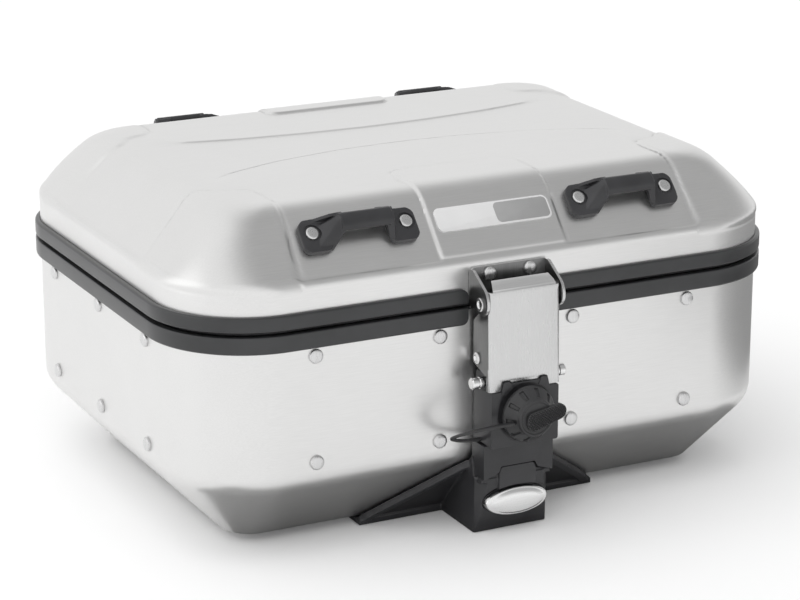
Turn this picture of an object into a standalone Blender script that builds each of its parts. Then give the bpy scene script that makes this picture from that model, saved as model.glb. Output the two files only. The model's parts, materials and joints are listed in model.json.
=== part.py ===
"""Aluminium motorcycle top case with a hinged lid, an over-centre front latch and four tie-down loops.

Lengths below are millimetres and become metres in add_object. +X is to the right seen from the front,
the latch faces -Y, +Z is up. The origin is the centre of the base's underside.
"""

import math

import bmesh
import bpy
from mathutils import Matrix, Vector

MM = 0.001

# Case outline: half width, half depth and corner radius of the sheet walls and of the rim frames.
WALL = (228.2, 169.4, 66.0)
RIM = (232.5, 172.6, 71.0)
SHEET = 1.6
GAP = 0.35
CORNER_STEPS = 6

# Heights.
BODY_BOTTOM = 5.0
BODY_TOP = 158.0
BODY_BAND = (147.9, 159.9)
LID_BAND = (163.0, 173.1)
LID_BOTTOM = 164.9
LID_CREASE = 191.0
CHAMFER_INSET = 45.0
CHAMFER_TOP = 54.0

# Lid slopes, as (half depth, height) at the foot and at the head of the front slope.
SLOPE_FOOT = (167.5, 194.5)
SLOPE_HEAD = (133.5, 230.5)
TOP_HEIGHT = 235.6

# Hinges at the back.
LID_AXIS_Y = 178.0
LID_AXIS_Z = 161.5
HINGE_X = 96.4
KNUCKLE_R = 5.0
HINGE_PIN_R = 2.5

# Base and floor.
NOSE_HALF = 28.0
NOSE_TOP = 40.6
BASE_SCREWS = [(x, y) for x in (-120.0, 120.0) for y in (-75.0, 75.0)]
FLOOR = BODY_BOTTOM + SHEET + GAP

# Front latch: A is the lever's pivot on the lid bracket, B the claw's pivot on the lever.
PIVOT_A = (-187.5, 166.2)
PIVOT_B = (-178.7, 126.0)
CATCH_PIN = (-185.0, 110.9)
CATCH_PIN_R = 4.1
LOCK_Z = 89.4
BUTTON_Z = 22.5
CAP_R = 19.5
NOTCH_HALF = 31.0

# Rivet positions.
BODY_RIVET_Z = {"upper": 141.9, "lower": 68.0}
BODY_RIVET_FRONT_X = (-142.1, -50.7, 50.7, 142.1)
BODY_RIVET_SIDE_Y = (-86.6, 0.0, 86.6)
LOOP_X = 100.15
LOOP_HALF_SPAN = 34.1
LOOP_RIVETS = [s * (LOOP_X + t * LOOP_HALF_SPAN) for s in (-1, 1) for t in (-1, 1)]
LOOP_SLOPE_Z = 216.6
BRACKET_RIVETS = {"left": (-15.4, 181.8), "right": (15.4, 181.8)}

MATERIALS = {
    "aluminium": ((0.80, 0.80, 0.81), 0.35, 1.0),
    "frame_black": ((0.035, 0.036, 0.038), 0.45, 0.0),
    "plastic_black": ((0.03, 0.03, 0.032), 0.6, 0.0),
    "rubber_black": ((0.02, 0.02, 0.021), 0.8, 0.0),
    "stainless": ((0.62, 0.62, 0.61), 0.28, 1.0),
    "bright_steel": ((0.78, 0.78, 0.78), 0.15, 1.0),
    "label_grey": ((0.35, 0.36, 0.38), 0.5, 0.0),
}


# ---------------------------------------------------------------- shapes: (points, faces) in millimetres


def outline(hx, hy, r, z):
    """A rounded rectangle at height z, anticlockwise seen from above."""
    points = []
    for sx, sy, start in ((1, -1, 270), (1, 1, 0), (-1, 1, 90), (-1, -1, 180)):
        for k in range(CORNER_STEPS + 1):
            a = math.radians(start + 90 * k / CORNER_STEPS)
            points.append((sx * (hx - r) + r * math.cos(a), sy * (hy - r) + r * math.sin(a), z))
    return points


def inset_outline(base, inset, z):
    hx, hy, r = base
    return outline(hx - inset, hy - inset, max(r - inset, 4.0), z)


def loft(rings, closed=False):
    """Rings with the same number of points, skinned in order. Unless closed on itself, it is capped."""
    count = len(rings[0])
    points = [p for ring in rings for p in ring]
    faces = []
    for k in range(len(rings) if closed else len(rings) - 1):
        low, high = k * count, (k + 1) % len(rings) * count
        for i in range(count):
            j = (i + 1) % count
            faces.append((low + i, low + j, high + j, high + i))
    if not closed:
        faces.append(tuple(range(count))[::-1])
        faces.append(tuple(range(len(points) - count, len(points))))
    return points, faces


def prism(section, lo, hi, axis):
    """A flat polygon carried from lo to hi. The section is (Y, Z) for axis X, (X, Z) for Y and (X, Y) for Z."""
    order = {"X": (2, 0, 1), "Y": (0, 2, 1), "Z": (0, 1, 2)}[axis]
    return loft([[tuple((a, b, t)[k] for k in order) for a, b in section] for t in (lo, hi)])


def rectangle(x0, x1, y0, y1):
    return [(x0, y0), (x1, y0), (x1, y1), (x0, y1)]


def rounded(x0, x1, y0, y1, r, steps=3):
    points = []
    corners = ((x1 - r, y0 + r, 270), (x1 - r, y1 - r, 0), (x0 + r, y1 - r, 90), (x0 + r, y0 + r, 180))
    for cx, cy, start in corners:
        for k in range(steps + 1):
            a = math.radians(start + 90 * k / steps)
            points.append((cx + r * math.cos(a), cy + r * math.sin(a)))
    return points


def circle(a, b, r, steps=16):
    turn = 2 * math.pi / steps
    return [(a + r * math.cos(turn * (k + 0.5)), b + r * math.sin(turn * (k + 0.5))) for k in range(steps)]


def box(x0, x1, y0, y1, z0, z1):
    return prism(rectangle(x0, x1, y0, y1), z0, z1, "Z")


def turned(profile, steps=12):
    """A solid of revolution about +Z from (radius, height) pairs, flat at both ends."""
    return loft([[(a, b, h) for a, b in circle(0, 0, r, steps)] for r, h in profile])


def merged(*shapes):
    points, faces = [], []
    for more, its in shapes:
        faces += [tuple(i + len(points) for i in face) for face in its]
        points += more
    return points, faces


def placed(shape, matrix):
    points, faces = shape
    return [tuple(matrix @ Vector(p)) for p in points], faces


def frame_at(origin, x, y, z):
    """The matrix that carries local axes onto x, y and z at origin."""
    m = Matrix((x, y, z)).transposed().to_4x4()
    m.translation = Vector(origin)
    return m


def along(origin, direction):
    """Local +Z carried onto an axis direction."""
    m = Vector((0, 0, 1)).rotation_difference(Vector(direction)).to_matrix().to_4x4()
    m.translation = Vector(origin)
    return m


# ---------------------------------------------------------------- objects


def material(name):
    found = bpy.data.materials.get(name)
    if found:
        return found
    colour, rough, metal = MATERIALS[name]
    made = bpy.data.materials.new(name)
    made.use_nodes = True
    shader = made.node_tree.nodes["Principled BSDF"]
    shader.inputs["Base Color"].default_value = (*colour, 1)
    shader.inputs["Roughness"].default_value = rough
    shader.inputs["Metallic"].default_value = metal
    made.diffuse_color = (*colour, 1)
    return made


def add_object(name, shape, finish, origin=(0, 0, 0)):
    points, faces = shape
    mesh = bpy.data.meshes.new(name)
    mesh.from_pydata([(Vector(p) - Vector(origin)) * MM for p in points], [], faces)
    shaped = bmesh.new()
    shaped.from_mesh(mesh)
    bmesh.ops.recalc_face_normals(shaped, faces=shaped.faces)
    shaped.to_mesh(mesh)
    shaped.free()
    mesh.shade_smooth()
    mesh.set_sharp_from_angle(angle=math.radians(35))
    mesh.materials.append(material(finish) if finish else None)
    made = bpy.data.objects.new(name, mesh)
    made.location = Vector(origin) * MM
    bpy.context.scene.collection.objects.link(made)
    return made


def combine(target, shape, operation):
    """Joins a shape to an object, or cuts it away, and hides the helper."""
    count = len(target.modifiers)
    helper = add_object(f"{target.name}_{operation.lower()}_{count}", shape, None)
    helper.hide_render = True
    helper.display_type = "WIRE"
    step = target.modifiers.new(f"{operation.lower()}_{count}", "BOOLEAN")
    step.operation = operation
    step.solver = "EXACT"
    step.object = helper


def join(target, *shapes):
    for shape in shapes:
        combine(target, shape, "UNION")


def cut(target, *shapes):
    for shape in shapes:
        combine(target, shape, "DIFFERENCE")


def clear_scene():
    for obj in list(bpy.data.objects):
        bpy.data.objects.remove(obj, do_unlink=True)


# ---------------------------------------------------------------- case body


def chamfer_inset(z):
    return CHAMFER_INSET * (CHAMFER_TOP - z) / (CHAMFER_TOP - BODY_BOTTOM)


def front_rivets(z):
    return [((x, -WALL[1], z), (0, -1, 0)) for x in BODY_RIVET_FRONT_X]


def back_rivets(z):
    return [((x, WALL[1], z), (0, 1, 0)) for x in BODY_RIVET_FRONT_X]


def side_rivets(z, side):
    return [((side * WALL[0], y, z), (side, 0, 0)) for y in BODY_RIVET_SIDE_Y]


def body_rivets(z):
    return {
        "front": front_rivets(z),
        "back": back_rivets(z),
        "left": side_rivets(z, -1),
        "right": side_rivets(z, 1),
    }


def dome_rivet(inner, seat):
    """A rivet along +Z with its dome head on a surface at height seat and its shank down to inner."""
    return turned([(2.2, inner), (2.2, seat), (5.0, seat), (4.3, seat + 1.4), (2.4, seat + 2.3)], 8)


def build_body_shell():
    outer = [
        (CHAMFER_INSET + 3.0, BODY_BOTTOM),
        (CHAMFER_INSET - 0.5, BODY_BOTTOM + 1.0),
        (chamfer_inset(48.5), 48.5),
        (1.6, 54.0),
        (0.0, 61.0),
        (0.0, BODY_TOP),
    ]
    inner = [
        (SHEET, BODY_TOP),
        (SHEET, 61.4),
        (1.6 + SHEET, 54.8),
        (chamfer_inset(48.5) + 1.2, 49.6),
        (CHAMFER_INSET + 0.4, BODY_BOTTOM + 2.5),
        (CHAMFER_INSET + 3.6, BODY_BOTTOM + SHEET),
    ]
    shell = add_object("body_shell", loft([inset_outline(WALL, i, z) for i, z in outer + inner]), "aluminium")
    holes = [
        placed(turned([(2.6, -8), (2.6, 6)], 8), along(at, out))
        for z in BODY_RIVET_Z.values()
        for group in body_rivets(z).values()
        for at, out in group
    ]
    screw_hole, lock_hole = turned([(3.4, -6), (3.4, 6)], 8), turned([(11.5, -10), (11.5, 10)], 16)
    holes += [placed(screw_hole, Matrix.Translation((x, y, 6))) for x, y in BASE_SCREWS]
    holes.append(placed(lock_hole, along((0, -WALL[1], LOCK_Z), (0, -1, 0))))
    cut(shell, merged(*holes))


def rim_section(edge, far, inner_far, groove):
    """The frame's section from the joint between the halves (edge) out to far, around the sheet's edge."""
    step = 1 if far > edge else -1
    return [
        inset_outline(RIM, 0.9, edge),
        inset_outline(RIM, 0.0, edge + 1.0 * step),
        inset_outline(RIM, 0.0, far - 1.2 * step),
        inset_outline(RIM, 1.1, far),
        inset_outline(WALL, -GAP, far),
        inset_outline(WALL, -GAP, groove),
        inset_outline(WALL, SHEET + GAP, groove),
        inset_outline(WALL, SHEET + GAP, inner_far),
        inset_outline(WALL, 6.0, inner_far),
        inset_outline(WALL, 6.0, edge),
    ]


def build_frames():
    latch_notch = box(-NOTCH_HALF, NOTCH_HALF, -185, -WALL[1] + 0.6, 140, 185)
    frames = {
        "body_rim_frame": (BODY_BAND[1], BODY_BAND[0], 146.2, BODY_TOP + GAP),
        "lid_rim_frame": (LID_BAND[0], LID_BAND[1], 178.0, LID_BOTTOM - GAP),
    }
    for name, section in frames.items():
        frame = add_object(name, loft(rim_section(*section), closed=True), "frame_black")
        cut(frame, latch_notch)
    low, high = BODY_BAND[1] + 0.25, LID_BAND[0] - 0.25
    middle = (low + high) / 2
    seal = [(1.6, low), (0.6, middle), (1.6, high), (4.4, high), (5.4, middle), (4.4, low)]
    add_object("rim_seal", loft([inset_outline(WALL, i, z) for i, z in seal], closed=True), "rubber_black")


def build_rivet_strips():
    """Each wall has an upper and a lower row of rivets, closed on a backing strip inside."""
    depth = SHEET + GAP
    for row, z in BODY_RIVET_Z.items():
        for side, rivets in body_rivets(z).items():
            half = 152.0 if side in ("front", "back") else 96.0
            at, out = rivets[0]
            face = abs(at[1] if side in ("front", "back") else at[0])
            near, far = face - depth - 2.0, face - depth
            strip = {
                "front": (-half, half, -far, -near),
                "back": (-half, half, near, far),
                "left": (-far, -near, -half, half),
                "right": (near, far, -half, half),
            }[side]
            made = add_object(f"rivet_strip_{side}_{row}", box(*strip, z - 3.2, z + 3.2), "aluminium")
            join(made, merged(*[placed(dome_rivet(-depth - 1.0, GAP), along(p, out)) for p, out in rivets]))


def build_floor():
    """The mat on the floor and the four screws that hold the base moulding to the sheet."""
    sheet = loft([inset_outline(WALL, 51.0, z) for z in (FLOOR, FLOOR + 3)])
    mat = add_object("floor_mat", sheet, "rubber_black")
    hole = turned([(7.0, 0), (7.0, 20)], 12)
    cut(mat, merged(*[placed(hole, Matrix.Translation((x, y, 0))) for x, y in BASE_SCREWS]))
    names = ("front_left", "back_left", "front_right", "back_right")
    for name, (x, y) in zip(names, BASE_SCREWS):
        screw = turned([(2.9, 1.6), (2.9, FLOOR), (5.2, FLOOR), (5.2, FLOOR + 1.6), (3.6, FLOOR + 2.8)], 12)
        add_object(f"base_screw_{name}", placed(screw, Matrix.Translation((x, y, 0))), "stainless")


def chamfer_frame():
    """Axes on the front lower slope: local X across, Y up the slope, Z out of it."""
    rise = Vector((0, -CHAMFER_INSET, CHAMFER_TOP - BODY_BOTTOM)).normalized()
    across = Vector((1, 0, 0))
    return frame_at((0, -(WALL[1] - CHAMFER_INSET), BODY_BOTTOM), across, rise, across.cross(rise))


def build_base():
    """The black base moulding: plate under the case, the nose below the latch and a web up each side of it."""
    plate = prism(rounded(-152, 152, -124, 124, 24), 0, BODY_BOTTOM - 0.6, "Z")
    base = add_object("base_plate", plate, "plastic_black")
    nose = [(-176.2, 0), (-185.3, NOSE_TOP), (-159.7, NOSE_TOP), (-126.0, 4.0), (-110.0, 4.0), (-110.0, 0)]
    tongue = [(-187.2, 48.7), (-184.2, 48.7), (-184.2, 38.0), (-178.0, 35.0), (-178.0, 31.0), (-184.0, 31.0)]
    join(base, prism(nose, -NOSE_HALF, NOSE_HALF, "X"), prism(tongue, -14.2, 14.2, "X"))
    web = [(20, 0.5), (90, 0.5), (84, 6), (31, 56), (NOSE_HALF - 0.7, 56), (NOSE_HALF - 0.7, 42), (20, 42)]
    for side in (-1, 1):
        join(base, placed(prism([(side * x, y) for x, y in web], 0.8, 4.6, "Z"), chamfer_frame()))
    join(base, box(-92, 92, -129.5, -110, 0, 3.9))
    pocket = prism(rounded(-25.2, 25.2, BUTTON_Z - 9.6, BUTTON_Z + 9.6, 9.4), -195, -173.5, "Y")
    stem_hole = placed(turned([(6.2, -174), (6.2, -146)], 12), along((0, 0, BUTTON_Z), (0, 1, 0)))
    bolt_slot = box(-9, 9, -160, -137, -1, BUTTON_Z)
    screw_hole = turned([(3.3, 1.2), (3.3, 9)], 10)
    screw_holes = [placed(screw_hole, Matrix.Translation((x, y, 0))) for x, y in BASE_SCREWS]
    cut(base, pocket, stem_hole, bolt_slot, merged(*screw_holes))


def coil(centre_z, y0, y1, radius, wire, turns, steps=8, sides=4):
    """A helical spring along Y, capped at both ends."""
    rings = []
    total = int(turns * steps)
    for k in range(total + 1):
        a = 2 * math.pi * k / steps
        axis = Vector((math.cos(a), 0, math.sin(a)))
        middle = Vector((0, y0 + (y1 - y0) * k / total, centre_z)) + axis * radius
        rings.append(
            [
                tuple(middle + axis * wire * math.cos(b) + Vector((0, 1, 0)) * wire * math.sin(b))
                for b in (2 * math.pi * s / sides for s in range(sides))
            ]
        )
    return loft(rings)


def build_release():
    """The oval push button, its stem, the tongue it draws back and the spring around the stem."""
    origin = (0, -191.0, BUTTON_Z)
    button = add_object(
        "release_button",
        prism(rounded(-24.6, 24.6, BUTTON_Z - 9, BUTTON_Z + 9, 8.9), -190.6, -180.6, "Y"),
        "bright_steel",
        origin,
    )
    join(button, placed(turned([(2.6, -182), (2.6, -152.0)], 12), along((0, 0, BUTTON_Z), (0, 1, 0))))
    tongue = add_object("release_bolt", box(-7.5, 7.5, -157.5, -149.0, 1.5, BUTTON_Z - 4.5), "stainless", origin)
    join(tongue, box(-5.5, 5.5, -155.6, -151.6, BUTTON_Z - 6, BUTTON_Z - 3.0))
    add_object("release_spring", coil(BUTTON_Z, -173.0, -161.0, 4.6, 0.6, 4), "stainless")


def build_lower_block():
    """The block between nose and lock, notched for the tongue on the nose's centre."""
    low, high, front = NOSE_TOP + 0.6, 65.6, -187.6
    section = [(front, low), (front, high), (-171.0, high), (-171.0, 54.0), (-167.6, 49.0), (-160.2, low)]
    block = add_object("lower_block", prism(section, -26.6, 26.6, "X"), "plastic_black")
    notch = [(-20.0, low - 2), (-14.9, 45.0), (-14.6, 49.2), (14.6, 49.2), (14.9, 45.0), (20.0, low - 2)]
    cut(block, prism(notch, -200, -183.5, "Y"))


# ---------------------------------------------------------------- lock and latch


def build_lock():
    """The lock block, the barrel through it, the plug that turns in the barrel and the cam on the plug's end."""
    half, front, back, low, high = 26.2, -196.0, -170.2, 66.0, 105.8
    centre, inward = (0, front, LOCK_Z), (0, 1, 0)
    housing = prism(rounded(-half, half, low, high, 2.5, 2), front, back, "Y")
    block = add_object("lock_block", housing, "plastic_black")
    cheek = [(-190.0, high - 1), (-190.0, 112), (-187, 116.2), (-173, 116.2), (-171.2, 112), (-171.2, high - 1)]
    for side in (-1, 1):
        join(block, box(*sorted((side * 11.9, side * 16.5)), -196.9, -191.5, high - 1, 112.3))
        join(block, prism(cheek, *sorted((side * 22.3, side * 24.6)), "X"))
    barrel_hole = placed(turned([(11.5, -10), (11.5, 40)], 16), along(centre, inward))
    cut(block, barrel_hole, prism(circle(*CATCH_PIN, CATCH_PIN_R + 0.3, 16), -30, 30, "X"))
    add_object("catch_pin", prism(circle(*CATCH_PIN, CATCH_PIN_R, 16), -35.6, 35.6, "X"), "bright_steel")
    tube = placed(turned([(11.0, 0), (11.0, 47)], 20), along((0, front - 0.4, LOCK_Z), inward))
    barrel = add_object("lock_barrel", tube, "stainless")
    cut(barrel, placed(turned([(7.4, -5), (7.4, 60)], 20), along(centre, inward)))
    body = placed(turned([(7.0, 0), (7.0, 48.5), (3.4, 48.5), (3.4, 52.5)], 20), along(centre, inward))
    plug = add_object("lock_plug", body, "bright_steel", centre)
    cut(plug, box(-1.2, 1.2, front - 5, front + 12, LOCK_Z - 4.5, LOCK_Z + 4.5))
    cam_y = front + 49.0
    arm = prism(rounded(-7, 7, LOCK_Z - 7, LOCK_Z + 26, 6.5), cam_y, cam_y + 3, "Y")
    cam = add_object("lock_cam", arm, "stainless", centre)
    cut(cam, placed(turned([(3.7, -5), (3.7, 12)], 16), along((0, cam_y, LOCK_Z), inward)))


def build_cap():
    """The rubber dust cap over the keyhole, with its grip bar, and the flat strap that tethers it."""
    back = -200.6
    cone = turned([(CAP_R, 0), (CAP_R, 2.6), (17.8, 4.2), (13.2, 8.6), (12.4, 11.0), (11.4, 11.6)], 24)
    cap = add_object(
        "dust_cap", placed(cone, along((0, back, LOCK_Z), (0, -1, 0))), "rubber_black", (0, back, LOCK_Z)
    )
    join(cap, prism(rounded(-6, 22.5, LOCK_Z - 5.0, LOCK_Z + 4.6, 4.5), back - 14.4, back - 10.0, "Y"))
    route = [
        (-19.9, -203.4, 84.6), (-29, -203.3, 83.4), (-38, -200.5, 82.2), (-44.5, -194.5, 80.2),
        (-46.5, -187, 77.6), (-43, -181.0, 76.0), (-36, -178.6, 76.0), (-26.9, -177.6, 77.0),
    ]
    rings = []
    for k, (x, y, z) in enumerate(route):
        ahead, behind = route[min(k + 1, len(route) - 1)], route[max(k - 1, 0)]
        run = Vector((ahead[0] - behind[0], ahead[1] - behind[1], 0)).normalized()
        side = Vector((run.y, -run.x, 0)) * 1.1
        corners = ((-1, -2.8), (1, -2.8), (1, 2.8), (-1, 2.8))
        rings.append([(x + sx * side.x, y + sx * side.y, z + up) for sx, up in corners])
    add_object("cap_strap", loft(rings), "rubber_black")


def sheet_along(path, thickness, half):
    """A bent sheet: a (Y, Z) path thickened towards +Y and carried across X."""
    back = [(y + thickness, z) for y, z in reversed(path)]
    return prism(path + back, -half, half, "X")


def build_bracket():
    """The U-shaped bracket on the lid that carries the lever, its two rivets and the lever's pivot pin."""
    face, back = -WALL[1] - GAP - 2.0, -WALL[1] - GAP
    plate = prism(rounded(-29.6, 29.6, 159.4, 187, 2.5, 2), face, back, "Y")
    bracket = add_object("lid_bracket", plate, "stainless")
    ear = [
        (back, 186.8), (-176.0, 186.0), (-193.0, 178.6), (-196.0, 173.0), (-195.8, 165.0), (-192.5, 159.6),
        (-186.0, 158.6), (-178.0, 160.6), (back, 160.6),
    ]
    for side in (-1, 1):
        join(bracket, prism(ear, *sorted((side * 27.6, side * 29.6)), "X"))
    cut(bracket, prism(circle(*PIVOT_A, 3.4, 16), -40, 40, "X"))
    cut(bracket, merged(*[prism(circle(x, z, 2.6, 8), -180, -160, "Y") for x, z in BRACKET_RIVETS.values()]))
    rivet = turned([(2.2, -6), (2.2, GAP), (4.8, GAP), (4.2, 1.4), (2.4, 2.2)], 12)
    for hand, (x, z) in BRACKET_RIVETS.items():
        add_object(f"bracket_rivet_{hand}", placed(rivet, along((x, face, z), (0, -1, 0))), "bright_steel")
    pin = headed_pin([(4.6, 31.6), (5.2, 31.0), (5.2, 30.0), (3.0, 30.0)])
    add_object("lever_pivot_pin", placed(turned(pin, 16), along((0, *PIVOT_A), (1, 0, 0))), "bright_steel")


def headed_pin(end):
    """A pin's profile with the same head at both ends, from one end's (radius, height) pairs."""
    return [(r, -h) for r, h in end] + [(r, h) for r, h in end[::-1]]


def build_lever():
    """The pressed lever plate with its two side flanges, hung on pivot A. Its tabs straddle the block's lugs."""
    origin = (0, *PIVOT_A)
    plate = [(-193.4, 174.6), (-194.6, 140), (-195.4, 106.0)]
    lever = add_object("latch_lever", sheet_along(plate, 1.9, 27.0), "stainless", origin)
    bend = [(-186.2, 181.0), (-191.5, 179.2), (-193.4, 173.5)]
    join(lever, sheet_along(bend, 1.9, 22.0))
    flange = [
        (-192.6, 174.6), (-195.2, 107.0), (-190.2, 107.0), (-190.0, 116.4), (-187.6, 116.4), (-172.0, 121.4),
        (-172.0, 150.0), (-180.2, 158.5), (-180.8, 172.0), (-184.0, 174.6),
    ]
    for side in (-1, 1):
        join(lever, prism(flange, *sorted((side * 25.1, side * 27.0)), "X"))
    cut(
        lever,
        prism(circle(*PIVOT_A, 3.4, 16), -40, 40, "X"),
        prism(circle(*PIVOT_B, 2.9, 16), -40, 40, "X"),
        box(-15.0, 15.0, -200, -185, 100, 109.6),
        merged(*[box(*sorted((s * 11.2, s * 17.6)), -201, -185, 101, 113.0) for s in (-1, 1)]),
    )
    pin = headed_pin([(3.6, 28.8), (4.4, 28.3), (4.4, 27.3), (2.5, 27.3)])
    axis = (0, *PIVOT_B)
    add_object("claw_pivot_pin", placed(turned(pin, 14), along(axis, (1, 0, 0))), "bright_steel", axis)


def build_claw():
    """The claw: a cross plate on pivot B with two fingers that hang in front of the catch pin."""
    plate = [
        (-182.6, 127.0), (-180.5, 130.3), (-176.6, 130.3), (-174.4, 127.6), (-174.4, 124.4), (-176.6, 121.8),
        (-181.5, 121.2), (-189.6, 115.2), (-192.3, 115.2), (-192.3, 118.0),
    ]
    claw = add_object("claw", prism(plate, -21.6, 21.6, "X"), "stainless", (0, *PIVOT_B))
    for side in (-1, 1):
        join(claw, box(*sorted((side * 18.5, side * 21.6)), -192.2, -189.7, 107.2, 117.0))
    cut(claw, prism(circle(*PIVOT_B, 2.9, 16), -40, 40, "X"))


# ---------------------------------------------------------------- lid


def slope_frame(front):
    """Axes on a lid slope: local X across, Y up the slope, Z out of it, at the height of the loop rivets."""
    along_slope = (LOOP_SLOPE_Z - SLOPE_FOOT[1]) / (SLOPE_HEAD[1] - SLOPE_FOOT[1])
    y = SLOPE_FOOT[0] + (SLOPE_HEAD[0] - SLOPE_FOOT[0]) * along_slope
    sign = -1 if front else 1
    rise = Vector((0, sign * (SLOPE_HEAD[0] - SLOPE_FOOT[0]), SLOPE_HEAD[1] - SLOPE_FOOT[1])).normalized()
    across = Vector((-sign, 0, 0))
    return frame_at((0, sign * y, LOOP_SLOPE_Z), across, rise, across.cross(rise))


def build_lid_shell():
    hx, hy, r = WALL
    foot, head = SLOPE_FOOT, SLOPE_HEAD
    outer = [
        (hx, hy, r, LID_BOTTOM),
        (hx, hy, r, LID_CREASE),
        (hx - 2.0, foot[0], r - 2, foot[1]),
        (178.5, head[0], 50, head[1]),
        (171.5, 127.5, 46, TOP_HEIGHT - 1.6),
        (158.0, 114.0, 36, TOP_HEIGHT),
    ]
    thinning = ((1, 0), (1, 0), (1.1, 0.5), (0.6, 1.1), (0.4, 1.2), (0.1, 1.0))
    inner = [
        (x - SHEET * a, y - SHEET * a, c - SHEET * a, z - SHEET * b)
        for (x, y, c, z), (a, b) in zip(outer, thinning)
    ]
    shell = add_object("lid_shell", loft([outline(*ring) for ring in outer[::-1] + inner]), "aluminium")
    hole = turned([(2.6, -8), (2.6, 8)], 8)
    holes = [
        placed(hole, slope_frame(front) @ Matrix.Translation((x, 0, 0)))
        for front in (True, False)
        for x in LOOP_RIVETS
    ]
    holes += [prism(circle(x, z, 2.6, 8), -175, -160, "Y") for x, z in BRACKET_RIVETS.values()]
    cut(shell, merged(*holes))


def build_loops():
    """Four tie-down loops. Each bar stands over a slot between its two riveted pads."""
    for front in (True, False):
        for side in (-1, 1):
            row = "front" if front else "back"
            hand = "left" if (side < 0) == front else "right"
            place = slope_frame(front) @ Matrix.Translation((side * LOOP_X, 0, 0))
            arch = [
                (-30, 1.0), (-30, 3.0), (-18, 12.4), (18, 12.4), (30, 3.0), (30, 1.0),
                (20.5, 1.0), (17.5, 7.6), (-17.5, 7.6), (-20.5, 1.0),
            ]
            bar = [[(u, v, n) for u, n in arch] for v in (-3.8, 7.6)]
            loop = add_object(f"tie_loop_{row}_{hand}", placed(loft(bar), place), "plastic_black")
            for end in (-1, 1):
                pad = [(-15.0, 20.8), (-15.0, 41.0), (-10.0, 44.4), (6.0, 44.4), (10.0, 40.0), (10.0, 20.8)]
                pad_section = [(end * u, v) for v, u in pad]
                join(loop, placed(prism(pad_section, 0.4, 3.2, "Z"), place))
            holes = [turned([(5.9, 3.3), (5.9, 20)], 12), turned([(2.6, -4), (2.6, 8)], 8)]
            for end in (-1, 1):
                shift = Matrix.Translation((end * LOOP_HALF_SPAN, 0, 0))
                for hole in holes:
                    cut(loop, placed(hole, place @ shift))
                rivet = turned([(2.2, -3.4), (2.2, 3.6), (5.0, 3.6), (4.4, 4.9), (2.6, 5.5)], 12)
                where = "inner" if (end * side < 0) else "outer"
                add_object(f"loop_rivet_{row}_{hand}_{where}", placed(rivet, place @ shift), "bright_steel")


def build_badge():
    """A blank two-part plate on the lid's front slope."""
    plate = prism(rounded(-44.2, 44.2, -5.0, 5.0, 2.5), 0.35, 1.5, "Z")
    add_object("badge_plate", placed(plate, slope_frame(True)), "label_grey")


def build_hinges():
    """Two hinges. Each body leaf has the outer knuckles and each lid leaf the middle one, on one pin."""
    y, z = LID_AXIS_Y, LID_AXIS_Z
    wall = WALL[1] + GAP
    leaf = {
        "body": [
            (wall, 118), (wall + 2, 118), (wall + 2, 144.7), (175.4, 147.6), (175.4, 155.4), (173.1, 155.4),
            (173.1, 147.4), (wall, 146.4),
        ],
        "lid": [
            (wall, 190), (wall + 2, 190), (wall + 2, 178.6), (175.4, 175.8), (175.4, 167.6), (173.1, 167.6),
            (173.1, 176.0), (wall, 176.8),
        ],
    }
    neck = {
        "body": [(173.1, 154.0), (176.6, 154.0), (178.0, z - 3), (173.3, z - 0.2)],
        "lid": [(173.1, 169.0), (176.6, 169.0), (178.0, z + 3), (173.3, z + 0.2)],
    }
    spans = {"body": ((-30, -10), (10, 30)), "lid": ((-9.6, 9.6),)}
    for hand, x in (("left", -HINGE_X), ("right", HINGE_X)):
        for half in ("body", "lid"):
            made = add_object(f"hinge_{half}_leaf_{hand}", prism(leaf[half], x - 30, x + 30, "X"), "stainless")
            for lo, hi in spans[half]:
                join(made, prism(neck[half], x + lo, x + hi, "X"))
                join(made, prism(circle(y, z, KNUCKLE_R, 16), x + lo, x + hi, "X"))
            cut(made, prism(circle(y, z, HINGE_PIN_R + 0.3, 14), x - 40, x + 40, "X"))
        pin = prism(circle(y, z, HINGE_PIN_R, 14), x - 31.5, x + 31.5, "X")
        add_object(f"hinge_pin_{hand}", pin, "bright_steel")


clear_scene()
build_body_shell()
build_frames()
build_rivet_strips()
build_floor()
build_base()
build_release()
build_lower_block()
build_lock()
build_cap()
build_bracket()
build_lever()
build_claw()
build_lid_shell()
build_loops()
build_badge()
build_hinges()
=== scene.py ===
"""Looks of the aluminium top case: pressed lid, brushed sheet, black frames, latch, loops and base.

Shapes are worked out in millimetres from the frame's boxes and become metres in make_piece.
"""

import json
import math

import bmesh
import bpy
import numpy as np
from mathutils import Matrix, Vector


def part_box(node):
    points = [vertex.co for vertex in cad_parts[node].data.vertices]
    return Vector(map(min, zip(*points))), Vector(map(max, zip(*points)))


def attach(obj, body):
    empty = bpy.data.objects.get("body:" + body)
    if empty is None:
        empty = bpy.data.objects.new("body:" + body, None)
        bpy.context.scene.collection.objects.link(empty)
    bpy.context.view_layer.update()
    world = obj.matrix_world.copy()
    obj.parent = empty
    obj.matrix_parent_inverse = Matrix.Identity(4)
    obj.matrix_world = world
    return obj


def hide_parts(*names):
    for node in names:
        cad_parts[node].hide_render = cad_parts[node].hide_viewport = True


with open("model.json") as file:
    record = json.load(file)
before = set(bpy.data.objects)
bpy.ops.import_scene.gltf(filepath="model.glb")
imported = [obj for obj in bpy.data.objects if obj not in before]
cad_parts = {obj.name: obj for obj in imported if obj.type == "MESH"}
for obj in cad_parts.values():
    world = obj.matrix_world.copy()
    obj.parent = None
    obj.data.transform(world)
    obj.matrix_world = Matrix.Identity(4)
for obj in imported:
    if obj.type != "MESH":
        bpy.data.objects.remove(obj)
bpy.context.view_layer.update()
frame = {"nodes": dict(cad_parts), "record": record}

MM = 0.001


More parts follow.
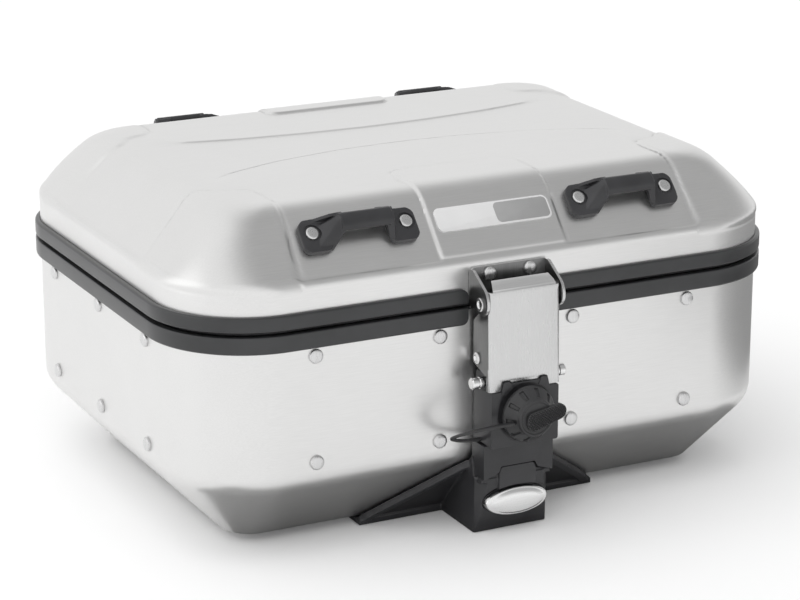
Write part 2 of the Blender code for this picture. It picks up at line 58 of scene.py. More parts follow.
def box_mm(node):
    low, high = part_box(node)
    return [v / MM for v in low], [v / MM for v in high]


# ---------------------------------------------------------------- sizes read from the frame

BODY_LOW, BODY_HIGH = box_mm("body_shell")
FRAME_HIGH = box_mm("body_rim_frame")[1]
JOINTS = {joint["name"]: joint for joint in frame["record"]["behaviour"]["joints"]}

WALL_X, WALL_Y, WALL_R = BODY_HIGH[0], BODY_HIGH[1], 66.0
RIM_X, RIM_Y, RIM_R = FRAME_HIGH[0], FRAME_HIGH[1], 71.0
BODY_BAND = (147.9, FRAME_HIGH[2])
LID_BAND = (box_mm("lid_rim_frame")[0][2], 173.1)
BODY_BOTTOM, BODY_TOP = BODY_LOW[2], BODY_HIGH[2]
LID_BOTTOM = box_mm("lid_shell")[0][2]

LEVER_PIVOT = [v / MM for v in JOINTS["lever_hinge"]["pos_m"]][1:]
CLAW_PIVOT = [v / MM for v in JOINTS["claw_hinge"]["pos_m"]][1:]
LOCK_Z = JOINTS["lock_turn"]["pos_m"][2] / MM
BUTTON_Z = sum(box_mm("release_button")[k][2] for k in (0, 1)) / 2

# ---------------------------------------------------------------- sizes of the detail, in millimetres

SHEET = 1.6
GAP = 0.35
CHAMFER_INSET, CHAMFER_RISE = 45.0, 49.0
NOTCH_HALF, NOTCH_R = 31.0, 5.5
RIVET_X, RIVET_Y = (-142.1, -50.7, 50.7, 142.1), (-86.6, 0.0, 86.6)
LOOP_X, LOOP_Z, LOOP_RIVET_U = 100.15, 216.6, 34.1
NOSE_HALF, NOSE_TOP, NOSE_FRONT = 28.0, 40.6, -176.9
NOSE_LEAN, NOSE_BACK_LEAN = 8.6, 0.918
HOUSING_HALF, HOUSING_FRONT, HOUSING_BACK = 25.6, -196.0, -170.2


# ---------------------------------------------------------------- shapes: (points, faces) in millimetres


def rounded_ring(hx, hy, r, z, corner, along_x, along_y):
    """A rounded rectangle at height z, anticlockwise from above, with its straight runs divided evenly."""
    points = []
    corners = ((1, -1, 270), (1, 1, 0), (-1, 1, 90), (-1, -1, 180))
    for number, (sx, sy, start) in enumerate(corners):
        points += [(x, y, z) for x, y in arc(sx * (hx - r), sy * (hy - r), r, start, start + 90, corner)]
        nx, ny, following = corners[(number + 1) % 4]
        end = arc(nx * (hx - r), ny * (hy - r), r, following, following, 1)[0]
        steps = along_y if number in (0, 2) else along_x
        first = points[-1]
        for k in range(1, steps):
            t = k / steps
            points.append((first[0] + (end[0] - first[0]) * t, first[1] + (end[1] - first[1]) * t, z))
    return points


def loft(rings, closed=False):
    """A skin over rings of equal count, capped at both ends unless the last ring joins the first."""
    count = len(rings[0])
    points = [tuple(p) for ring in rings for p in ring]
    faces = []
    for k in range(len(rings) if closed else len(rings) - 1):
        low, high = k * count, (k + 1) % len(rings) * count
        for i in range(count):
            j = (i + 1) % count
            faces.append((low + i, low + j, high + j, high + i))
    if not closed:
        faces.append(tuple(range(count))[::-1])
        faces.append(tuple(range(len(points) - count, len(points))))
    return points, faces


def prism(section, lo, hi, axis):
    """A flat outline carried from lo to hi. It is (Y, Z) for axis X, (X, Z) for Y and (X, Y) for Z."""
    at = "XYZ".index(axis)
    return loft([[(*p[:at], t, *p[at:]) for p in section] for t in (lo, hi)])


def mirrored(outline):
    """An outline's points on the other side of X = 0, in an order that carries the outline on."""
    return [(-x, z) for x, z in outline[::-1]]


def side_slab(section, side, inner, outer):
    """A (Y, Z) outline carried between two distances from X = 0 on one side."""
    return prism(section, *sorted((side * inner, side * outer)), "X")


def arc(cx, cy, r, start, end, steps):
    """Points on an arc between two angles in degrees."""
    span = [math.radians(start + (end - start) * k / steps) for k in range(steps + 1)]
    return [(cx + r * math.cos(a), cy + r * math.sin(a)) for a in span]


def curve(start, knee, end, count):
    """Points on a quadratic curve that leaves the start towards the knee and turns to the end."""
    start, knee, end = (np.array(p, float) for p in (start, knee, end))
    return [
        tuple(start * (1 - t) ** 2 + knee * 2 * t * (1 - t) + end * t * t) for t in np.linspace(0, 1, count)
    ]


def rounded(x0, x1, y0, y1, r, steps=6):
    return (
        arc(x1 - r, y0 + r, r, 270, 360, steps)
        + arc(x1 - r, y1 - r, r, 0, 90, steps)
        + arc(x0 + r, y1 - r, r, 90, 180, steps)
        + arc(x0 + r, y0 + r, r, 180, 270, steps)
    )


def softened(corners, radius, steps=4):
    """A polygon with each corner rounded to about the radius."""
    result = []
    count = len(corners)
    for i in range(count):
        p, here, n = (Vector(corners[(i + k) % count]) for k in (-1, 0, 1))
        back, ahead = (p - here), (n - here)
        reach = min(radius, back.length * 0.45, ahead.length * 0.45)
        a, b = here + back.normalized() * reach, here + ahead.normalized() * reach
        for k in range(steps + 1):
            t = k / steps
            result.append(tuple(a * (1 - t) ** 2 + here * 2 * t * (1 - t) + b * t**2))
    return result


def ellipse(a, b, ra, rb, steps, power):
    """A superellipse: power 2 is a true ellipse, and more is squarer."""
    points = []
    for k in range(steps):
        t = 2 * math.pi * k / steps
        x, y = (math.copysign(abs(v) ** (2 / power), v) for v in (math.cos(t), math.sin(t)))
        points.append((a + ra * x, b + rb * y))
    return points


def cuboid(x0, x1, y0, y1, z0, z1):
    return prism([(x0, y0), (x1, y0), (x1, y1), (x0, y1)], z0, z1, "Z")


def turned(profile, steps):
    """A solid of revolution about +Z from (radius, height) pairs, capped flat at both ends."""
    last = 360 - 360 / steps
    return loft([[(a, b, h) for a, b in arc(0, 0, max(r, 0.01), 0, last, steps - 1)] for r, h in profile])


def cross_pin(half, y, z, steps):
    """A pin along X through (0, y, z), from the (radius, distance) outline of its half."""
    profile = [(r, -h) for r, h in half] + half[::-1]
    return placed(turned(profile, steps), along((0, y, z), (1, 0, 0)))


def merged(*shapes):
    points, faces = [], []
    for more, its in shapes:
        faces += [tuple(i + len(points) for i in face) for face in its]
        points += [tuple(p) for p in more]
    return points, faces


def placed(shape, matrix):
    return [tuple(matrix @ Vector(p)) for p in shape[0]], shape[1]


def frame_at(origin, x, y, z):
    """The matrix that carries a shape's own axes to x, y and z at the origin given."""
    m = Matrix((x, y, z)).transposed().to_4x4()
    m.translation = Vector(origin)
    return m


def hull(points):
    """The convex hull of some points."""
    shaped = bmesh.new()
    for p in points:
        shaped.verts.new(p)
    bmesh.ops.convex_hull(shaped, input=shaped.verts)
    shaped.verts.index_update()
    result = [tuple(v.co) for v in shaped.verts], [tuple(v.index for v in f.verts) for f in shaped.faces]
    shaped.free()
    return result


def along(origin, direction):
    """The matrix that turns a shape's +Z to a direction at the origin given."""
    m = Vector((0, 0, 1)).rotation_difference(Vector(direction)).to_matrix().to_4x4()
    m.translation = Vector(origin)
    return m


# ---------------------------------------------------------------- materials


class Nodes:
    """Short names for building one material's node tree."""

    def __init__(self, name, colour, roughness, metallic, **sockets):
        self.material = bpy.data.materials.new(name)
        self.material.use_nodes = True
        self.tree = self.material.node_tree
        self.shader = self.tree.nodes["Principled BSDF"]
        self.shader.inputs["Base Color"].default_value = (*colour, 1)
        self.shader.inputs["Roughness"].default_value = roughness
        self.shader.inputs["Metallic"].default_value = metallic
        for key, value in sockets.items():
            self.shader.inputs[key.replace("_", " ")].default_value = value
        self.place = self.tree.nodes.new("ShaderNodeTexCoord").outputs["Object"]

    def link(self, output, target):
        self.tree.links.new(output, target)

    def scaled(self, scale):
        node = self.tree.nodes.new("ShaderNodeMapping")
        node.inputs["Scale"].default_value = scale
        self.link(self.place, node.inputs["Vector"])
        return node.outputs["Vector"]

    def noise(self, vector, scale, detail, rough):
        node = self.tree.nodes.new("ShaderNodeTexNoise")
        node.inputs["Scale"].default_value = scale
        node.inputs["Detail"].default_value = detail
        node.inputs["Roughness"].default_value = rough
        self.link(vector, node.inputs["Vector"])
        return node.outputs["Fac"]

    def ramp(self, value, low, high, out_low, out_high):
        node = self.tree.nodes.new("ShaderNodeMapRange")
        for key, number in (("From Min", low), ("From Max", high), ("To Min", out_low), ("To Max", out_high)):
            node.inputs[key].default_value = number
        self.link(value, node.inputs["Value"])
        return node.outputs["Result"]

    def math(self, operation, a, b):
        node = self.tree.nodes.new("ShaderNodeMath")
        node.operation = operation
        for socket, value in zip(node.inputs, (a, b)):
            if isinstance(value, (int, float)):
                socket.default_value = value
            else:
                self.link(value, socket)
        return node.outputs["Value"]

    def tint(self, value, dark, light):
        node = self.tree.nodes.new("ShaderNodeMix")
        node.data_type = "RGBA"
        node.inputs["A"].default_value = (*dark, 1)
        node.inputs["B"].default_value = (*light, 1)
        self.link(value, node.inputs["Factor"])
        self.link(node.outputs["Result"], self.shader.inputs["Base Color"])

    def rough(self, value):
        self.link(value, self.shader.inputs["Roughness"])

    def bump(self, height, strength, distance):
        node = self.tree.nodes.new("ShaderNodeBump")
        node.inputs["Strength"].default_value = strength
        node.inputs["Distance"].default_value = distance
        self.link(height, node.inputs["Height"])
        self.link(node.outputs["Normal"], self.shader.inputs["Normal"])


def brushed(name, dark, light, rough_low, rough_high, grain_axis, strength):
    """Rolled or brushed sheet: fine short streaks along one axis over slow clouds of colour and roughness."""
    n = Nodes(name, light, rough_high, 1.0)
    along_grain, across = 55.0, 1500.0
    scale = [along_grain if axis == grain_axis else across for axis in "XYZ"]
    streaks = n.noise(n.scaled(scale), 1.0, 2.0, 0.5)
    clouds = n.noise(n.place, 14.0, 4.0, 0.6)
    both = n.math("ADD", n.math("MULTIPLY", streaks, 0.6), n.math("MULTIPLY", clouds, 0.4))
    n.tint(n.ramp(both, 0.3, 0.7, 0.0, 1.0), dark, light)
    n.rough(n.ramp(both, 0.3, 0.7, rough_low, rough_high))
    n.bump(streaks, strength, 0.00004)
    return n.material


def moulded(name, dark, light, rough_low, rough_high, grain, strength, metallic=0.0, **sockets):
    """Moulded plastic, rubber or powder coat: a fine pebble grain with slow variation in sheen."""
    n = Nodes(name, light, rough_high, metallic, **sockets)
    pebbles = n.noise(n.place, grain, 2.0, 0.55)
    clouds = n.noise(n.place, 26.0, 3.0, 0.6)
    n.tint(n.ramp(clouds, 0.3, 0.7, 0.0, 1.0), dark, light)
    n.rough(n.ramp(clouds, 0.3, 0.7, rough_low, rough_high))
    n.bump(pebbles, strength, 0.00006)
    return n.material


def grey(value, blue=1.0):
    return (value, value, value * blue)


ALUMINIUM = brushed("satin_aluminium", (0.79, 0.788, 0.782), (0.85, 0.848, 0.842), 0.30, 0.38, "X", 0.06)
RIVET = brushed("rivet_aluminium", grey(0.66), grey(0.78), 0.24, 0.34, "Z", 0.05)
COATED = moulded(
    "charcoal_coating", (0.024, 0.025, 0.026), (0.036, 0.037, 0.039), 0.38, 0.46, 2200.0, 0.12, 0.3,
    Coat_Weight=0.5, Coat_Roughness=0.3,
)
PLASTIC = moulded("black_plastic", (0.024, 0.024, 0.026), (0.040, 0.040, 0.043), 0.28, 0.40, 1500.0, 0.22)
RUBBER = moulded("black_rubber", (0.024, 0.024, 0.025), (0.040, 0.040, 0.042), 0.36, 0.48, 1100.0, 0.2)
STAINLESS = brushed("brushed_stainless", grey(0.64), grey(0.70), 0.22, 0.30, "Z", 0.02)
# A darker copy of the brushed stainless: painted shade for faces and latch parts that lie in shadow.
STAINLESS_PAINTED_SHADE = brushed("shaded_stainless", grey(0.20), grey(0.28), 0.28, 0.38, "Z", 0.05)
# Bright steel, the real finish of the button, the pins, the catch bar and the lock plug; on the lever's top
# bend it is a painted highlight.
BRIGHT_STEEL_AND_PAINTED_HIGHLIGHT = brushed("bright_steel", grey(0.84), grey(0.92), 0.12, 0.18, "X", 0.02)
LABEL_LIGHT = moulded("label_light", grey(0.66), grey(0.72), 0.36, 0.44, 1800.0, 0.05)
LABEL_GREY = moulded("label_grey", grey(0.30), grey(0.35), 0.36, 0.44, 1800.0, 0.05)


# ---------------------------------------------------------------- pieces


def mesh_object(name, shape):
    """A mesh in metres from a shape in millimetres, with its faces turned outwards."""
    points, faces = shape
    mesh = bpy.data.meshes.new(name)
    mesh.from_pydata([(p[0] * MM, p[1] * MM, p[2] * MM) for p in points], [], faces)
    shaped = bmesh.new()
    shaped.from_mesh(mesh)
    bmesh.ops.recalc_face_normals(shaped, faces=shaped.faces)
    shaped.to_mesh(mesh)
    shaped.free()
    made = bpy.data.objects.new(name, mesh)
    bpy.context.scene.collection.objects.link(made)
    return made


def apply_modifiers(obj):
    """Bakes an object's modifiers into its mesh."""
    graph = bpy.context.evaluated_depsgraph_get()
    graph.update()
    old = obj.data
    obj.data = bpy.data.meshes.new_from_object(obj.evaluated_get(graph))
    obj.modifiers.clear()
    obj.data.name = obj.name
    bpy.data.meshes.remove(old)


def carve(obj, shape, operation="DIFFERENCE"):
    """Cuts a shape from an object, or joins it, and bakes the result."""
    helper = mesh_object("helper", shape)
    step = obj.modifiers.new("carve", "BOOLEAN")
    step.operation, step.solver, step.object = operation, "EXACT", helper
    apply_modifiers(obj)
    bpy.data.objects.remove(helper, do_unlink=True)


def round_edges(obj, width, segments=2):
    """Rounds an object's sharper edges and bakes the result."""
    step = obj.modifiers.new("edges", "BEVEL")
    step.width, step.segments, step.limit_method = width * MM, segments, "ANGLE"
    step.angle_limit = math.radians(35)
    apply_modifiers(obj)


def melt(obj, voxel, smoothing, keep):
    """Joins overlapping shapes into one soft-edged moulding."""
    step = obj.modifiers.new("voxels", "REMESH")
    step.mode, step.voxel_size = "VOXEL", voxel * MM
    soft = obj.modifiers.new("soft", "SMOOTH")
    soft.factor, soft.iterations = 0.5, smoothing
    fewer = obj.modifiers.new("fewer", "DECIMATE")
    fewer.ratio = keep
    apply_modifiers(obj)


def finish_piece(obj, materials, body, replaced, sharp=40.0):
    """Gives an object its materials and shading, and says what it rides and replaces."""
    mesh = obj.data
    mesh.materials.clear()
    for material in materials if isinstance(materials, tuple) else (materials,):
        mesh.materials.append(material)
    mesh.shade_smooth()
    mesh.set_sharp_from_angle(angle=math.radians(sharp))
    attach(obj, body)
    if replaced:
        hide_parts(*replaced)


def paint_shade_and_highlight_on_faces(obj, number, wanted):
    """Gives one of an object's materials to the faces picked by their centre (mm) and normal: used to paint
    shade and highlight by the way a face points.
    """
    for face in obj.data.polygons:
        if wanted(face.center / MM, face.normal):
            face.material_index = number


def make_piece(name, shape, material, body, replaced, sharp=40.0):
    finish_piece(mesh_object(name, shape), material, body, replaced, sharp)


# ---------------------------------------------------------------- lid


# Slopes are given as (half depth, height) at their foot and head.
SLOPE = ((165.5, 193.4), (132.4, 230.5))
LOOP_SLOPE = ((167.5, 194.5), (133.5, 230.5))
LID_WALL_TOP, RELIEF_FOOT, LID_CREST = 187.6, 192.0, 234.2
CREST_X, CREST_Y, CREST_R = 183.5, 129.1, 25.0
SIDE_SPREAD = 0.3595
RAISED, SUNKEN, SHOULDER_RISE = 1.4, -1.0, 0.9
LID_STEPS = dict(corner=40, along_x=230, along_y=140)


def smooth_step(value, low, high):
    """0 below low, 1 above high and a smooth rise between them."""
    t = np.clip((value - low) / (high - low), 0, 1)
    return t * t * (3 - 2 * t)


def polygon_distance(x, y, corners):
    """Signed distance in plan to a polygon, negative inside."""
    nearest = np.full(x.shape, 1e9)
    inside = np.zeros(x.shape, bool)
    for (ax, ay), (bx, by) in zip(corners, corners[1:] + corners[:1]):
        ex, ey = bx - ax, by - ay
        t = np.clip(((x - ax) * ex + (y - ay) * ey) / (ex * ex + ey * ey), 0, 1)
        nearest = np.minimum(nearest, np.hypot(x - ax - t * ex, y - ay - t * ey))
        if ay != by:
            crosses = (ay > y) != (by > y)
            inside ^= crosses & (x < (bx - ax) * (y - ay) / (by - ay) + ax)
    return np.where(inside, -nearest, nearest)


def panel_step(distance, half_width=1.1):
    """1 inside a panel outline, 0 outside it."""
    return 1 - smooth_step(distance, -half_width, half_width)


def crease_line(distance, depth=0.45):
    """A fine groove pressed in just outside a panel outline."""
    return -depth * np.exp(-(((distance - 1.6) / 0.9) ** 2))


def relief(x, y, z):
    """How far the pressed lid stands out of its plain form: plateaus 0, channel sunken, panels raised."""
    far = 260.0
    front = [(-150, -far), (-150, -80), (-162, -72), (-160, -50), (-147, -38), (-102, -21), (-50, -11)]
    back = [(150, far), (150, 92), (160, 84), (158, 68), (148, 60), (99, 50), (50, 44.5)]
    front_plateau = softened(front + [(0, -8)] + mirrored(front), 12.0)
    back_plateau = softened(back + [(0, 42.5)] + mirrored(back), 12.0)
    front_panel = softened([(-47.3, -far), (-47.3, -82), (47.3, -82), (47.3, -far)], 13.0)
    back_panel = softened([(-49, far), (-49, 106), (49, 106), (49, far)], 9.0)
    fading = smooth_step(np.abs(x), 134, 165)
    front_edge, back_edge = (polygon_distance(x, y, outline) for outline in (front_plateau, back_plateau))
    widen = 1.1 + 14 * fading
    plateau = np.maximum(panel_step(front_edge, widen), panel_step(back_edge, widen))
    level = SUNKEN * (1 - plateau) + crease_line(front_edge, 1.2) * (1 - fading)
    for panel in (front_panel, back_panel):
        edge = polygon_distance(x, y, panel)
        level = level + (RAISED - level) * panel_step(edge) + crease_line(edge)
    return level * smooth_step(z, RELIEF_FOOT, RELIEF_FOOT + 3.5)


def shoulder_share(x, y):
    """1 on the two raised front shoulders, less on the back ones, 0 elsewhere, and the crease beside them."""
    share, crease = 0.0, 0.0
    for shift, depth, full, soft in ((0.0, -y, 1.0, 2.0), (10.0, y, 0.7, 2.6)):
        shoulder = softened(
            [(153, 200), (148, 97 + shift), (151, 83 + shift), (170, 78 + shift), (180, 63 + shift),
             (219, 74 + shift), (260, 84 + shift), (260, 220)], 9.0
        )
        edge = polygon_distance(np.abs(x), depth, shoulder)
        side_fade = 6 * smooth_step(np.abs(x), 195, 215)
        share = np.maximum(share, full * panel_step(edge, soft + side_fade))
        crease = crease + crease_line(edge, 0.4 * full**3)
    return share, crease


def lid_profile(shoulder):
    """(half depth, height) from the lower edge up over the wall, the slope and on to the middle of the top.

    On the shoulders the wall rolls straight into a slope that stands SHOULDER_RISE higher, with no ledge at
    its foot.
    """
    foot, head = np.array(SLOPE)
    direction = (head - foot) / np.linalg.norm(head - foot)
    crest_height = LID_CREST
    if shoulder:
        wall_top = 185.2
        foot = foot + np.array((direction[1], -direction[0])) * SHOULDER_RISE
        crest_height += SHOULDER_RISE
        corner = foot + direction * (WALL_Y - foot[0]) / direction[0]
        foot = corner + direction * 6.5
        roll = curve((WALL_Y, wall_top), corner, foot, 11)[1:]
    else:
        wall_top = LID_WALL_TOP
        turn = np.linspace(0.15, 1.45, 10)
        roll = [(WALL_Y - 3.6 * (1 - math.cos(a)), wall_top + 5.4 * math.sin(a)) for a in turn]
    wall = [(WALL_Y, z) for z in np.linspace(LID_BOTTOM, wall_top, 11)]
    crest = foot + direction * (crest_height - foot[1]) / direction[1]
    fillet = 13.0
    start, end = crest - direction * fillet, crest - np.array((fillet, 0.0))
    slope = [tuple(foot + (start - foot) * t) for t in np.linspace(0, 1, 52)[:-1]]
    top = [(y, crest_height) for y in np.linspace(end[0], 2.0, 104)[1:]]
    return wall + roll + slope + curve(start, crest, end, 17) + top


def lid_widths(half_depth, height):
    """(half width, corner radius) that go with a half depth of the lid."""

    def spread(distance):
        return distance + SIDE_SPREAD * (distance + math.sqrt(distance * distance + 64.0)) / 2

    past = half_depth - CREST_Y
    if past > 0:
        half_width = CREST_X + spread(past) * (WALL_X - CREST_X) / spread(WALL_Y - CREST_Y)
        left = 1 - max(height - LID_WALL_TOP, 0) / (LID_CREST - LID_WALL_TOP)
        radius = CREST_R + (WALL_R - CREST_R) * left**2.3
    else:
        half_width = CREST_X + spread(past)
        radius = CREST_R + 0.3 * past
    return half_width, max(min(radius, half_depth * 0.9), 1.5)


def build_lid_shell():
    """The pressed lid: a plain form moved out along its normal by the relief, and a smooth inner face."""
    grids = []
    for shoulder in (False, True):
        rings = []
        for half_depth, height in lid_profile(shoulder):
            half_width, radius = lid_widths(half_depth, height)
            rings.append(rounded_ring(half_width, half_depth, radius, height, **LID_STEPS))
        grids.append(np.array(rings))
    plain, raised = grids
    down = np.gradient(plain, axis=0)
    around = np.roll(plain, -1, axis=1) - np.roll(plain, 1, axis=1)
    normal = np.cross(around, down)
    normal /= np.linalg.norm(normal, axis=2, keepdims=True) + 1e-12
    normal[normal[..., 2] < 0] *= -1
    share, crease = shoulder_share(plain[..., 0], plain[..., 1])
    level = relief(plain[..., 0], plain[..., 1], plain[..., 2]) * (1 - share)
    level = level + crease * smooth_step(plain[..., 2], RELIEF_FOOT, RELIEF_FOOT + 6.0)
    grid = plain + (raised - plain) * share[..., None] + normal * level[..., None]
    inner_rings = []
    for k in list(range(0, len(grid), 8)) + [len(grid) - 1]:
        depth = SHEET + 1.2 * smooth_step(plain[k, :, 2:], RELIEF_FOOT - 12.0, RELIEF_FOOT)
        inner_rings.append([tuple(p) for p in plain[k] - normal[k] * depth])
    outer_rings = [[tuple(p) for p in ring] for ring in grid[::-1]]
    lid = mesh_object("lid_skin", loft(outer_rings + inner_rings))
    finish_piece(lid, ALUMINIUM, "lid", ("lid_shell",), sharp=50.0)


def slope_frame(front):
    """Axes on a lid slope at the loop rivets: local X across, Y up the slope, Z out of it."""
    foot, head = LOOP_SLOPE
    y = foot[0] + (head[0] - foot[0]) * (LOOP_Z - foot[1]) / (head[1] - foot[1])
    sign = -1 if front else 1
    rise = Vector((0, sign * (head[0] - foot[0]), head[1] - foot[1])).normalized()
    across = Vector((-sign, 0, 0))
    return frame_at((0, sign * y, LOOP_Z), across, rise, across.cross(rise))


def rivet(seat, radius, tall, inner=-3.0):
    """A button-headed rivet along +Z, its head seated at that height."""
    shank = 2.2
    head = [(radius, 0.0), (radius, tall * 0.45), (radius - 0.35, tall * 0.75), (radius - 0.9, tall * 0.93)]
    crown = [(radius * 0.6, tall * 1.0), (radius * 0.3, tall * 1.06), (0.0, tall * 1.08)]
    return turned([(shank, inner), (shank, seat)] + [(r, seat + h) for r, h in head + crown], 36)


def loop_shapes(end, steep):
    """One end of a loop in (u, v, n) millimetres: a pad, the leg that rises from it to the bar, and a lip."""
    if steep:
        outline = [(20.6, -13.8), (38.5, -13.8), (41.6, -10.0), (41.6, 6.0), (38.0, 10.2), (20.0, 10.2)]
        leg = [
            (20.3, -13.4, 0), (20.3, 8.6, 0), (22.3, -12.4, 3.2), (25.0, 8.8, 3.6), (25.0, -5.0, 3.6),
            (23.4, 8.8, 10.8), (23.0, 6.6, 12.2), (22.8, 3.0, 12.7), (22.2, -1.4, 11.8), (21.4, -4.2, 9.4),
            (17.6, -4.2, 7.4), (17.6, 8.4, 7.4),
        ]
        lip = [(33.0, 0.0), (33.0, 3.6), (24.6, 4.2), (23.0, 9.0), (12.0, 9.4), (12.0, 8.0), (20.5, 0.0)]
    else:
        outline = [(22.7, -13.8), (39.5, -13.8), (42.8, -10.0), (42.8, 6.0), (39.0, 10.2), (20.0, 10.2)]
        leg = [
            (22.7, -13.6, 0), (20.5, -2, 0), (20.5, 8, 0), (29.5, -11.6, 2.6), (31.8, -10.2, 3.3),
            (27.5, -4.5, 3.6), (27.5, 5.0, 3.6), (14.9, 1.6, 11.4), (14.4, 5.2, 12.4), (14.0, 7.0, 12.2),
            (12.4, -3.6, 9.4), (12.4, -3.6, 7.2), (14.0, 8.0, 7.2),
        ]
        lip = [(38.0, 0.0), (38.0, 3.4), (30.5, 4.3), (20.6, 9.0), (12.0, 9.8), (12.0, 8.0), (20.5, 0.0)]
    return [
        prism(softened([(end * u, v) for u, v in outline], 3.6), -1.6, 3.3, "Z"),
        hull([(end * u, v, n) for u, v, n in leg]),
        loft([[(end * u, v, n) for u, n in lip] for v in (7.6, 9.9)]),
    ]


def build_loops():
    """Tie-down loops: two riveted pads, one with a long ramp and one with a short leg, joined by a bar."""
    section = [(8.6, 7.6), (8.8, 10.8), (7.2, 12.4), (3.6, 13.0)]
    section += [(-1.4, 12.0), (-4.2, 9.6), (-4.2, 7.8), (0.0, 7.2)]
    bar = loft([[(u, v, n) for v, n in softened(section, 1.6)] for u in np.linspace(-15.5, 21.5, 8)])
    for front in (True, False):
        row = "front" if front else "back"
        for side in (-1, 1):
            hand = "left" if (side < 0) == front else "right"
            place = slope_frame(front) @ Matrix.Translation((side * LOOP_X, 0, 0))
            shape = merged(*loop_shapes(-1, False), *loop_shapes(1, True), bar)
            loop = mesh_object(f"loop_{row}_{hand}", placed(shape, place))
            melt(loop, 0.45, 2, 0.4)
            for end in (-1, 1):
                shift = place @ Matrix.Translation((end * LOOP_RIVET_U, 0, 0))
                carve(loop, placed(turned([(6.2, 2.5), (6.2, 20)], 40), shift))
                node = f"loop_rivet_{row}_{hand}_{'inner' if end * side < 0 else 'outer'}"
                head = placed(rivet(2.6, 4.6, 1.8), shift)
                make_piece(f"{node}_head", head, RIVET, "lid", (node,))
            finish_piece(loop, PLASTIC, "lid", (f"tie_loop_{row}_{hand}",), sharp=42.0)


def build_badge():
    """A blank two-part plate on the centre panel: a pale half, a grey half and a pale rim round both."""
    place = slope_frame(True)
    low, high, border = -11.0, 7.0, 1.4
    rim = mesh_object("badge_rim", placed(prism(rounded(-43.4, 43.4, low, high, 4.6), -0.6, 0.9, "Z"), place))
    round_edges(rim, 0.25)
    finish_piece(rim, LABEL_LIGHT, "lid", ("badge_plate",))
    panel = prism(rounded(1.5, 42.0, low + border, high - border, 3.4), 0.5, 1.15, "Z")
    grey_half = mesh_object("badge_grey_half", placed(panel, place))
    round_edges(grey_half, 0.12)
    finish_piece(grey_half, LABEL_GREY, "lid", ())


# ---------------------------------------------------------------- case body


def inset_ring(inset, z, base=(WALL_X, WALL_Y, WALL_R)):
    """A level ring inside the walls, or inside another (half width, half depth, corner radius)."""
    hx, hy, r = base
    return rounded_ring(hx - inset, hy - inset, max(r - inset, 4.0), z, corner=24, along_x=6, along_y=4)


def build_body_shell():
    """The tub: a flat bottom, sloped lower faces that bend into the walls, and an inner face."""
    bottom, inset = BODY_BOTTOM, CHAMFER_INSET
    chamfer_top = bottom + CHAMFER_RISE
    low, high = chamfer_top - 7.5, chamfer_top + 7.5
    edge = [
        (inset + 4.0, bottom), (inset + 1.0, bottom + 0.15), (inset - 0.6, bottom + 0.9),
        (inset - 1.8, bottom + 2.2), (inset - 4.5, bottom + 5.2),
    ]
    bend = curve((inset / CHAMFER_RISE * (chamfer_top - low), low), (0.0, chamfer_top), (0.0, high), 13)
    wall = [(0.0, z) for z in (high + 1.5, 100.0, BODY_TOP - 6, BODY_TOP)]
    inner = [(i + SHEET, z) for i, z in wall[::-1]]
    inner += [(i + SHEET * 0.9, z + SHEET * 0.5) for i, z in bend[::-3]]
    inner += [(inset + 0.4, bottom + SHEET + 0.8), (inset + 4.0, bottom + SHEET)]
    shell = mesh_object("body_skin", loft([inset_ring(i, z) for i, z in edge + bend + wall + inner]))
    finish_piece(shell, ALUMINIUM, "case_body", ("body_shell",), sharp=50.0)


def frame_notch(edge, far, way):
    """The opening in a frame behind the latch, open at the frame's edge and rounded at its far side."""
    half, r = NOTCH_HALF, NOTCH_R
    corner = arc(-half - r, far - way * r, r, 0, 90 * way, 8)[1:]
    side = [(-half, edge - way), (-half, far - way * r)] + corner + [(-half - r, far + 3 * way)]
    return prism(side + mirrored(side), -RIM_Y - 8, -WALL_Y + 0.6, "Y")


def build_frames():
    """The two black rim frames, rounded at their outer edges and notched for the latch, and the seal bead."""
    base = (WALL_X, WALL_Y, WALL_R)
    rim = (RIM_X, RIM_Y, RIM_R)
    quarter = 1.57
    for name, body, (edge, far), inner_far, groove in (
        ("body", "case_body", BODY_BAND[::-1], 146.2, BODY_TOP + GAP),
        ("lid", "lid", LID_BAND, 178.0, LID_BOTTOM - GAP),
    ):
        way = 1 if far > edge else -1
        section = []
        for a in np.linspace(0, quarter, 5):
            section.append(inset_ring(0.9 * (1 - math.sin(a)), edge + way * 0.9 * (1 - math.cos(a)), rim))
        section.append(inset_ring(0.0, edge + 5.0 * way, rim))
        for a in np.linspace(0, quarter, 6):
            section.append(inset_ring(1.5 * (1 - math.cos(a)), far - way * 1.5 * (1 - math.sin(a)), rim))
        inside = [(-GAP, far), (-GAP, groove), (SHEET + GAP, groove), (SHEET + GAP, inner_far)]
        section += [inset_ring(inset, z, base) for inset, z in inside + [(6.0, inner_far), (6.0, edge)]]
        ring = mesh_object(f"{name}_frame", loft(section, closed=True))
        carve(ring, frame_notch(edge, far, way))
        finish_piece(ring, COATED, body, (f"{name}_rim_frame",))
    low, high = BODY_BAND[1] + 0.25, LID_BAND[0] - 0.25
    middle, half = (low + high) / 2, (high - low) / 2
    turns = np.linspace(0, 2 * math.pi, 17)[:-1]
    bead = [inset_ring(3.0 - 2.4 * math.cos(a), middle + half * math.sin(a)) for a in turns]
    make_piece("seal_bead", loft(bead, closed=True), RUBBER, "case_body", ("rim_seal",))


